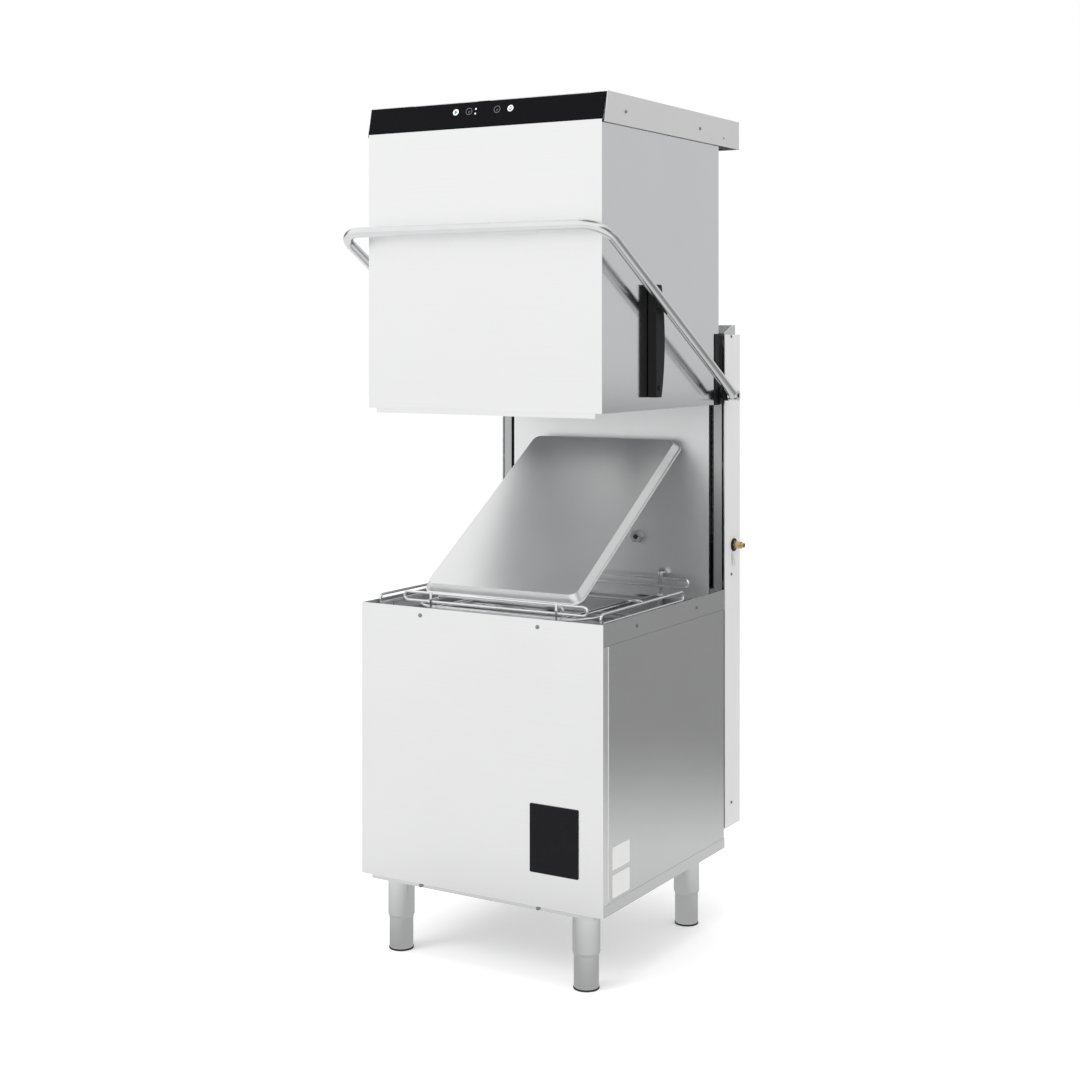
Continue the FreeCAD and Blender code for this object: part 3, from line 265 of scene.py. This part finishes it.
tube_steel = polished("Polished_tube", (0.80, 0.805, 0.81), 0.14)
foot_steel = polished("Turned_foot", (0.74, 0.745, 0.75), 0.20, lines=420.0)
wire_steel = polished("Bright_drawn_wire", (0.86, 0.865, 0.87), 0.10)
pipe_steel = polished("Pickled_pipe", (0.62, 0.625, 0.63), 0.30)
screw_steel = polished("Screw_heads", (0.30, 0.305, 0.31), 0.22, 0.00008, 900.0)

# %% [markdown]
# ## Springs
# The counterbalance springs are plain bars in the engineering model. The coils are drawn by a
# wave along the bar's height that lifts each turn with a bump and paints shade into the gaps.

# %% Coils
COIL_PITCH = 5.0 * MM


def coiled():
    spring = Finish("Coiled_spring_wire")
    axes = spring.node("ShaderNodeSeparateXYZ", {}, {0: spring.place()}, out="Z")
    turn = spring.node("ShaderNodeMath", {"operation": "SINE"}, {0: axes * (2 * math.pi / COIL_PITCH)})
    turn_lift_and_gap_shade = spring.spread(turn, 0.0, 1.0, -1.0, 1.0)
    oil = spring.noise(40.0)
    # Painted shade: the colour falls to a quarter in the gaps between turns; the oil noise adds real
    # variation.
    tone = spring.spread(turn_lift_and_gap_shade, 0.25, 1.0) * spring.spread(oil, 0.85, 1.05, 0.3, 0.7)
    return spring.surface(Base_Color=spring.shade(rgb(0.5, 0.5, 0.5), tone), Metallic=1.0,
                          Roughness=spring.spread(oil, 0.25, 0.42), Normal=spring.bump(turn_lift_and_gap_shade, 0.001, 0.8))


spring_steel = coiled()

# %% [markdown]
# ## Plastics
# The fascia and the badge are gloss moulded plastic with a clear skin, so a coat layer lies over
# a near-black base. Fittings that rub are matt and finely grained, and get paler where they wear.

# %% Gloss and matt plastic
def glossy(name, tone, rough=0.08, coat=0.6):
    skin = Finish(name)
    peel = skin.noise(90.0, detail=2.0)
    dust = skin.noise(420.0, detail=5.0, rough=0.7)
    return skin.surface(Base_Color=skin.shade(rgb(*tone), skin.spread(dust, 0.85, 1.5, 0.45, 0.8)),
                        Roughness=skin.spread(dust, rough, rough + 0.10, 0.4, 0.8), Coat_Weight=coat,
                        Coat_Roughness=0.05, Specular_IOR_Level=0.06, Normal=skin.bump(peel, 0.00003, 0.25))


def matt(name, tone, rough=0.5, grit=700.0, worn=0.35, sheen=0.5):
    skin = Finish(name)
    grain = skin.noise(grit, detail=3.0)
    wear = skin.noise(22.0, detail=4.0, rough=0.6)
    lifted = skin.spread(wear, 1.0 - worn * 0.4, 1.0 + worn, 0.35, 0.75)
    return skin.surface(Base_Color=skin.shade(rgb(*tone), lifted), Specular_IOR_Level=sheen,
                        Roughness=skin.spread(wear, rough - 0.1, rough + 0.12),
                        Normal=skin.bump(grain, 0.00008, 0.4))


fascia_black = glossy("Fascia_gloss_black", (0.004, 0.004, 0.005), 0.10, 0.02)
badge_black = glossy("Badge_gloss_black", (0.010, 0.010, 0.012), 0.14, 0.08)
button_black = glossy("Button_cap_black", (0.008, 0.008, 0.009), 0.22, 0.05)
fitting_black = matt("Sliding_fitting_black", (0.010, 0.010, 0.011), 0.42, sheen=0.18)
rubber_black = matt("Rubber_glide", (0.02, 0.02, 0.02), 0.7, 500.0)
pump_grey = matt("Moulded_pump_grey", (0.20, 0.205, 0.21), 0.48)
label_white = matt("Label_film_white", (0.86, 0.86, 0.85), 0.35, 900.0, 0.03)
mark_white = matt("Printed_mark_white", (0.82, 0.82, 0.82), 0.4, 900.0, 0.04)
mark_grey = matt("Printed_line_grey", (0.34, 0.34, 0.35), 0.4, 900.0, 0.1)
mark_dim = matt("Printed_mark_dim", (0.16, 0.16, 0.17), 0.4, 900.0, 0.1)
mark_green = matt("Printed_mark_green", (0.01, 0.30, 0.10), 0.4, 900.0, 0.05)

# %% [markdown]
# ## Castings, brass and the circuit board
# Cast aluminium has a sandy skin. Turned brass shows fine rings and a warm stain. The board is
# lacquered green with straight tracks, which come from a brick pattern.

# %% Cast, turned and lacquered
def cast():
    metal = Finish("Sand_cast_aluminium")
    sand = metal.noise(260.0, detail=5.0, rough=0.7)
    patch = metal.noise(9.0)
    colour = metal.shade(rgb(0.56, 0.57, 0.58), metal.spread(patch, 0.85, 1.08, 0.3, 0.7))
    return metal.surface(Base_Color=colour, Metallic=0.9, Roughness=metal.spread(sand, 0.38, 0.62),
                         Normal=metal.bump(sand, 0.0004, 0.6))


def turned_brass():
    brass = Finish("Turned_brass")
    ring = brass.noise(1.0, brass.stretched((900.0, 30.0, 30.0)), detail=2.0)
    stain = brass.noise(60.0, detail=4.0)
    warmth = brass.spread(stain, 0.0, 0.6, 0.4, 0.7)
    colour = brass.between(warmth, rgb(0.78, 0.58, 0.26), rgb(0.48, 0.33, 0.15))
    return brass.surface(Base_Color=colour, Metallic=1.0, Roughness=brass.spread(ring, 0.18, 0.36),
                         Normal=brass.bump(ring, 0.00005, 0.4))


def board():
    card = Finish("Lacquered_board")
    track = card.node("ShaderNodeTexBrick", {"offset": 0.5},
                      {"Vector": card.stretched((1.0, 1.0, 1.0)), "Scale": 60.0,
                       "Mortar Size": 0.03}, out="Fac")
    mottle = card.noise(160.0)
    colour = card.between(track, rgb(0.03, 0.17, 0.08), rgb(0.30, 0.30, 0.16))
    return card.surface(Base_Color=card.shade(colour, card.spread(mottle, 0.85, 1.1)),
                        Roughness=card.spread(mottle, 0.25, 0.4), Coat_Weight=0.3,
                        Normal=card.bump(track, 0.0001, 0.5))


aluminium, brass, circuit = cast(), turned_brass(), board()
print("finishes", len(bpy.data.materials))

# %% [markdown]
# ## Give each body its finish
# The grain follows how each sheet is cut: across on the front, along on the sides, upright on
# the columns and covers.

# %% Assign the finishes
FINISH = {
    front_steel: "front_panel hood_front rear_panel",
    side_steel: "side_panel_right side_panel_left tank_rim base_frame",
    hood_side_steel: "hood_side_right hood_side_left",
    cap_steel: "hood_cap",
    upright_steel: "rear_duct carriages control_box",
    inner_steel: "back_wall hood_ceiling scrap_screen scrap_basket",
    tank_steel: "wash_tank booster_tank",
    frame_steel: "column_frame",
    cover_steel: "rear_cover",
    pan_steel: "tray",
    tube_steel: "handle leg_tubes",
    foot_steel: "foot_front_left foot_front_right foot_rear_left foot_rear_right",
    wire_steel: "track_rails rack_runners tray_rack overflow_tube",
    pipe_steel: "lower_wash_arm lower_rinse_arm upper_wash_arm upper_rinse_arm rinse_pipe wall_fittings "
                "water_pipes heater_element",
    screw_steel: "panel_screws hood_screws",
    spring_steel: "counter_springs",
    fascia_black: "fascia",
    badge_black: "name_plate",
    button_black: "start_button power_button",
    fitting_black: "guide_strips guide_shoes pivot_brackets link_left link_right",
    pump_grey: "lower_manifold riser_pipe pump_housing pump_inlet impeller",
    circuit: "control_board",
    aluminium: "pump_motor",
    brass: "inlet_valve",
}
dressed = set()
for material, names in FINISH.items():
    for name in names.split():
        nodes[name].data.materials.clear()
        nodes[name].data.materials.append(material)
        dressed.add(name)
print("dressed", len(dressed), "bare", sorted(set(nodes) - dressed))

# %% [markdown]
# ## Modelling helpers
# A small piece is drawn flat at the origin, facing up, and then stood up where it belongs. An
# operator acts on whatever is selected, so each drawing starts with nothing selected.

# %% Draw flat, then stand up
def begin():
    if bpy.context.object and bpy.context.object.mode != "OBJECT":
        bpy.ops.object.mode_set(mode="OBJECT")
    bpy.ops.object.select_all(action="DESELECT")


def flat_disc(radius, sides):
    begin()
    bpy.ops.mesh.primitive_circle_add(vertices=sides, radius=radius, fill_type="NGON")
    return bpy.context.object


def raise_faces(height):
    """Pushes all that is selected up, and leaves a closed solid."""
    bpy.ops.mesh.extrude_region_move(TRANSFORM_OT_translate={"value": (0, 0, height)})


def close(piece):
    bpy.ops.mesh.select_all(action="SELECT")
    bpy.ops.mesh.remove_doubles(threshold=1e-6)
    bpy.ops.mesh.normals_make_consistent(inside=False)
    bpy.ops.object.mode_set(mode="OBJECT")
    return piece


def soften(piece, width, steps=2):
    bevel = piece.modifiers.new("Edge", "BEVEL")
    bevel.width, bevel.segments, bevel.limit_method = width, steps, "ANGLE"
    bpy.ops.object.modifier_apply(modifier=bevel.name)


def stand(piece, name, at, turn, body, material):
    """Names the piece, turns it out of the flat, places it and lets it ride on a body."""
    piece.name = piece.data.name = name
    piece.rotation_euler = turn
    piece.location = at
    bpy.ops.object.transform_apply(location=True, rotation=True, scale=True)
    bpy.ops.object.shade_smooth_by_angle(angle=math.radians(35))
    piece.data.materials.append(material)
    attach(piece, body)
    print(name, "faces", len(piece.data.polygons))
    return piece


def ring(radius, wall, height, sides=40):
    """A flat washer: a disc, its rim inset, the middle taken out, the rest raised."""
    piece = flat_disc(radius, sides)
    bpy.ops.object.mode_set(mode="EDIT")
    bpy.ops.mesh.select_mode(type="FACE")
    bpy.ops.mesh.select_all(action="SELECT")
    bpy.ops.mesh.inset(thickness=wall)
    bpy.ops.mesh.delete(type="FACE")
    bpy.ops.mesh.select_all(action="SELECT")
    raise_faces(height)
    return close(piece)


def tile(width, length, height, corner):
    """A thin plate with round corners, lying flat."""
    begin()
    bpy.ops.mesh.primitive_plane_add(size=1)
    piece = bpy.context.object
    bpy.ops.object.mode_set(mode="EDIT")
    bpy.ops.mesh.select_all(action="SELECT")
    bpy.ops.transform.resize(value=(width, length, 1))
    bpy.ops.mesh.bevel(offset=corner, segments=5, affect="VERTICES")
    bpy.ops.mesh.select_all(action="SELECT")
    raise_faces(height)
    return close(piece)


def dot(radius, height):
    """A round mark with its rim stepped in a little, as a printed pad is."""
    piece = flat_disc(radius, 40)
    bpy.ops.object.mode_set(mode="EDIT")
    bpy.ops.mesh.select_mode(type="FACE")
    bpy.ops.mesh.select_all(action="SELECT")
    bpy.ops.mesh.inset(thickness=radius * 0.06)
    bpy.ops.mesh.select_all(action="SELECT")
    raise_faces(height)
    return close(piece)


def blunt_shape(radius, sides, height, corner):
    """A many-sided mark with blunt corners."""
    piece = flat_disc(radius, sides)
    bpy.ops.object.mode_set(mode="EDIT")
    bpy.ops.mesh.select_all(action="SELECT")
    bpy.ops.mesh.bevel(offset=corner, segments=3, affect="VERTICES")
    bpy.ops.mesh.select_all(action="SELECT")
    raise_faces(height)
    return close(piece)


# %% [markdown]
# ## Marks on the fascia
# The controls are plain printed signs under the clear skin: a ring and a triangle on the start
# button, a ring with a stroke on the power button, two dim dials between them, and thin lines
# that underline both halves. Each sign is 0.2 mm proud, so that it never fights with the face.

# %% Signs
PRINT = 0.2 * MM
on_face = (SLOPE_TURN, 0, 0)
start_at, power_at = middle("start_button"), middle("power_button")
SIGN_R = 8.2 * MM


def sign(piece, name, x, material, body="hood", plane=FASCIA, up=0.0, spin=0.0):
    spot = on_slope(x, start_at, plane, up)
    piece.rotation_euler = (0, 0, spin)
    bpy.ops.object.transform_apply(location=False, rotation=True, scale=False)
    return stand(piece, name, spot, on_face, body, material)


start_plane, power_plane = front_plane("start_button"), front_plane("power_button")
sign(dot(SIGN_R, PRINT), "start_disc", start_at.x, mark_white, "start_button", start_plane)
sign(blunt_shape(6.2 * MM, 3, PRINT, 0.5 * MM), "start_triangle", start_at.x, mark_green, "start_button",
     start_plane + PRINT, spin=math.radians(-90))
sign(dot(SIGN_R, PRINT), "power_disc", power_at.x, mark_white, "power_button", power_plane)
sign(ring(4.6 * MM, 1.1 * MM, PRINT), "power_ring", power_at.x, fitting_black,
     "power_button", power_plane + PRINT)
sign(tile(1.3 * MM, 4.2 * MM, PRINT * 1.5, 0.3 * MM), "power_stroke", power_at.x, fitting_black,
     "power_button", power_plane + PRINT, up=3.2 * MM)

# %% Dials and lines
DIAL_X = 40 * MM
for side, name in ((-1, "clock"), (1, "gauge")):
    sign(ring(9.0 * MM, 1.2 * MM, PRINT), name + "_rim", side * DIAL_X, mark_dim)
    sign(tile(1.2 * MM, 6.0 * MM, PRINT, 0.3 * MM), name + "_hand", side * DIAL_X, mark_dim, up=2.5 * MM)
    sign(tile(1.2 * MM, 4.5 * MM, PRINT, 0.3 * MM), name + "_hand_short", side * DIAL_X + 2 * MM, mark_dim,
         spin=math.radians(90))
for index, up in enumerate((-5 * MM, 7 * MM)):
    sign(dot(2.3 * MM, PRINT), "level_mark_" + str(index + 1), -21 * MM, mark_white, up=up)
LINE_DROP = -24 * MM
for name, x0, x1 in (("line_left", -208 * MM, -18 * MM), ("line_right", 17 * MM, 302 * MM)):
    sign(tile(x1 - x0, 1.0 * MM, PRINT, 0.3 * MM), name, (x0 + x1) / 2, mark_grey, up=LINE_DROP)

# %% [markdown]
# ## Blank labels on the side
# The maker's plates are left bare: two white film labels with round corners, one over the other,
# low on the right side panel.

# %% Labels
LABEL_W, LABEL_H, LABEL_T, LABEL_CORNER = 85 * MM, 53 * MM, 0.3 * MM, 5 * MM
LABEL_BACK = 86.5 * MM             # from the front edge to the label's middle
LABEL_HEIGHTS = (316 * MM, 251.5 * MM)
facing_right = (0, math.radians(90), 0)
for index, height in enumerate(LABEL_HEIGHTS):
    label = tile(LABEL_H, LABEL_W, LABEL_T, LABEL_CORNER)
    stand(label, "blank_label_" + str(index + 1), (SIDE_X, FRONT_Y + LABEL_BACK, height),
          facing_right, "base", label_white)

# %% [markdown]
# ## Folded edges beside the side panels
# The front sheet wraps round the corner and ends in a small fold, which catches the light as a
# thin bright line. A near-white, barely metallic strip with round ends stands for that fold on
# each side: its brightness is a painted highlight.

# %% Folded edges
FOLD_W, FOLD_T, FOLD_LOW = 1.8 * MM, 0.5 * MM, 222 * MM
FOLD_DROP = 53 * MM                # from the rim down to the fold's upper end
FOLD_BACK = 25.5 * MM              # from the front edge to the fold
fold_mid = (FOLD_LOW + RIM_Z - FOLD_DROP) / 2
fold_long = RIM_Z - FOLD_DROP - FOLD_LOW
for side, name in ((1, "right"), (-1, "left")):
    strip = tile(fold_long, FOLD_W, FOLD_T, 0.4 * MM)
    stand(strip, "folded_edge_" + name, (side * SIDE_X, FRONT_Y + FOLD_BACK, fold_mid),
          (0, side * math.radians(90), 0), "base", fold_painted_highlight)

# %% [markdown]
# ## Seal, nut and clip at the water inlet
# The hose stub comes out through a rubber grommet with a steel nut over it. A spring clip hangs
# below. The grommet is a washer with a rounded rim, the nut a six-sided one.

# %% Inlet trim
valve_low, valve_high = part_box("inlet_valve")
valve_mid = (valve_low + valve_high) / 2
COVER_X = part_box("rear_cover")[1].x
grommet = ring(17 * MM, 10.2 * MM, 3.5 * MM, 48)
soften(grommet, 1.0 * MM)
stand(grommet, "inlet_grommet", (COVER_X, valve_mid.y, valve_mid.z), facing_right, "base", fitting_black)
nut = ring(13 * MM, 5.8 * MM, 4 * MM, 6)
soften(nut, 0.5 * MM)
stand(nut, "inlet_nut", (COVER_X + 3.5 * MM, valve_mid.y, valve_mid.z), facing_right, "base", screw_steel)

# %% Hanging clip
def clip():
    """A strip with round ends, folded out at its foot."""
    piece = tile(38 * MM, 9 * MM, 1.2 * MM, 3 * MM)
    bpy.ops.object.mode_set(mode="EDIT")
    bpy.ops.mesh.select_mode(type="VERT")
    bpy.ops.mesh.select_all(action="DESELECT")
    bpy.ops.object.mode_set(mode="OBJECT")
    for vertex in piece.data.vertices:
        vertex.select = vertex.co.x > 12 * MM
    bpy.ops.object.mode_set(mode="EDIT")
    bpy.ops.transform.translate(value=(0, 0, 6 * MM))
    return close(piece)


clip_at = (COVER_X, valve_mid.y - 8 * MM, valve_mid.z - 35 * MM)
stand(clip(), "inlet_clip", clip_at, facing_right, "base", wire_steel)

# %% [markdown]
# ## Rubber glides
# Each foot stands on a rubber glide, seen as a thin dark ring at the floor.

# %% Glides
for name in ("foot_front_left", "foot_front_right", "foot_rear_left", "foot_rear_right"):
    spot = middle(name)
    radius = max((v.co - Vector((spot.x, spot.y, v.co.z))).length
                 for v in nodes[name].data.vertices if v.co.z < 6 * MM)
    glide = ring(radius + 1.2 * MM, 3.0 * MM, 4 * MM, 48)
    soften(glide, 0.6 * MM)
    stand(glide, "glide_" + name[5:], (spot.x, spot.y, FLOOR_Z), (0, 0, 0), name, rubber_black)

# %% [markdown]
# ## The studio
# A pale floor and a white surround. Bright steel is mostly a picture of what stands round it, so
# the surround and the floor are shown to reflections as white too, a little greyer behind the
# machine's right side, as in a studio with one open end. That keeps the two sides apart. Dark
# flags overhead and to both sides give the tubes their dark lines.

# %% What reflections see
DIM_WAY = Vector((0.56, 0.83, 0.0))
OPEN_AIR, OPEN_FLOOR = 0.64, 0.34


def reflected_tone(studio, direction, start, end, dimmest):
    """One in most directions, falling towards the studio's open end."""
    along = studio.node("ShaderNodeVectorMath", {"operation": "DOT_PRODUCT"},
                        {0: direction, 1: tuple(DIM_WAY)}, out="Value")
    return studio.node("ShaderNodeMapRange", {"clamp": True, "interpolation_type": "SMOOTHSTEP"},
                       {"Value": along, "From Min": start, "From Max": end,
                        "To Min": 1.0, "To Max": dimmest})


def seen_directly(studio):
    return studio.node("ShaderNodeLightPath", out="Is Camera Ray")


def seen_mirrored(studio):
    return studio.node("ShaderNodeLightPath", out="Is Glossy Ray") + studio.node(
        "ShaderNodeLightPath", out="Is Transmission Ray")


# %% Surround
world = bpy.data.worlds.new("Studio")
bpy.context.scene.world = world
air = Finish("Studio", world)
AIR_LEVEL = 0.82
OVERHEAD_START, OVERHEAD_END, OVERHEAD_TONE = 0.84, 0.99, 0.2
FLAGS = ((-0.93, 0.36, 0.0), (0.97, -0.22, 0.0))
FLAG_START, FLAG_END, FLAG_TONE = 0.80, 0.97, 0.22
way = air.node("ShaderNodeTexCoord", out="Generated")
mirrored = seen_mirrored(air)
height = air.node("ShaderNodeSeparateXYZ", {}, {0: way}, out="Z")
overhead = air.node("ShaderNodeMapRange", {"clamp": True, "interpolation_type": "SMOOTHSTEP"},
                    {"Value": height, "From Min": OVERHEAD_START, "From Max": OVERHEAD_END,
                     "To Min": 1.0, "To Max": OVERHEAD_TONE})
shown = reflected_tone(air, way, 0.2, 0.95, OPEN_AIR) * overhead
for flag in FLAGS:
    facing = air.node("ShaderNodeVectorMath", {"operation": "DOT_PRODUCT"},
                      {0: way, 1: flag}, out="Value")
    shown = shown * air.node("ShaderNodeMapRange", {"clamp": True, "interpolation_type": "SMOOTHSTEP"},
                             {"Value": facing, "From Min": FLAG_START, "From Max": FLAG_END,
                              "To Min": 1.0, "To Max": FLAG_TONE})
level = (1 - mirrored) * AIR_LEVEL + mirrored * shown
level = level * (1 - seen_directly(air)) + seen_directly(air)
light = air.node("ShaderNodeBackground", {}, {"Color": rgb(1, 1, 1), "Strength": level})
sky = air.tree.nodes.new("ShaderNodeOutputWorld")
air.tree.links.new(light.socket, sky.inputs["Surface"])

# %% Floor
FLOOR_HALF = 30.0
NEAR_PAINTED_SHADE, NEAR_START, NEAR_END = 0.55, 0.45, 1.15
PAINT_TONE, FLOOR_GLOW, FLOOR_MIRRORED = 0.90, 0.34, 0.9
begin()
bpy.ops.mesh.primitive_plane_add(size=2 * FLOOR_HALF, location=(0, 0, FLOOR_Z - 0.5 * MM))
floor = bpy.context.object
floor.name = "studio_floor"
bpy.ops.object.transform_apply(location=True, rotation=True, scale=True)
paving = Finish("Pale_floor")
paint = paving.node("ShaderNodeBsdfDiffuse", {}, {"Color": rgb(PAINT_TONE, PAINT_TONE, PAINT_TONE)})
reach = paving.node("ShaderNodeVectorMath", {"operation": "LENGTH"}, {0: paving.place()}, out="Value")
tone = reflected_tone(paving, paving.place(), 0.2, 2.6, OPEN_FLOOR)
# Painted shade: to reflections the floor is darker close to the machine, where its shade falls.
tone = tone * paving.spread(reach, NEAR_PAINTED_SHADE, 1.0, NEAR_START, NEAR_END)
mirrored = seen_mirrored(paving)
glow = seen_directly(paving) * FLOOR_GLOW + mirrored * tone * FLOOR_MIRRORED
lamp_skin = paving.node("ShaderNodeEmission", {}, {"Color": rgb(1, 1, 1), "Strength": glow})
both = paving.node("ShaderNodeAddShader", {}, {0: paint, 1: lamp_skin})
paving.output(paving.node("ShaderNodeMixShader", {}, {0: mirrored, 1: both, 2: lamp_skin}))
floor.data.materials.append(paving.owner)

# %% Lamps
LAMP_AIM = Vector((0, 0, 1.0))


def lamp(name, at, size, power):
    begin()
    bpy.ops.object.light_add(type="AREA", location=at)
    made = bpy.context.object
    made.name = name
    made.data.size, made.data.energy = size, power
    made.rotation_euler = (LAMP_AIM - Vector(at)).to_track_quat("-Z", "Y").to_euler()
    made.visible_glossy = False


lamp("key_lamp", (-2.4, -3.6, 3.6), 2.4, 90)
lamp("top_lamp", (0.4, -0.6, 4.6), 2.4, 50)

# %% [markdown]
# ## The camera
# It stands to the machine's right at about rim-to-hood height and looks level, so uprights stay
# parallel; the lens is shifted down to bring the feet in.

# %% Camera
CAMERA_AT, CAMERA_TURN = (2.2928, -3.8823, 1.5344), 30.95
SENSOR_W, LENS = 36.0, 58.68
SHIFT_X, SHIFT_Y = 0.0006, -0.1917
camera_data = bpy.data.cameras.new("Camera")
camera = bpy.data.objects.new("Camera", camera_data)
bpy.context.scene.collection.objects.link(camera)
camera.location = CAMERA_AT
camera.rotation_euler = (math.radians(90), 0, math.radians(CAMERA_TURN))
camera_data.sensor_width, camera_data.lens = SENSOR_W, LENS
camera_data.shift_x, camera_data.shift_y = SHIFT_X, SHIFT_Y
bpy.context.scene.camera = camera
bpy.context.scene.view_settings.view_transform = "Standard"
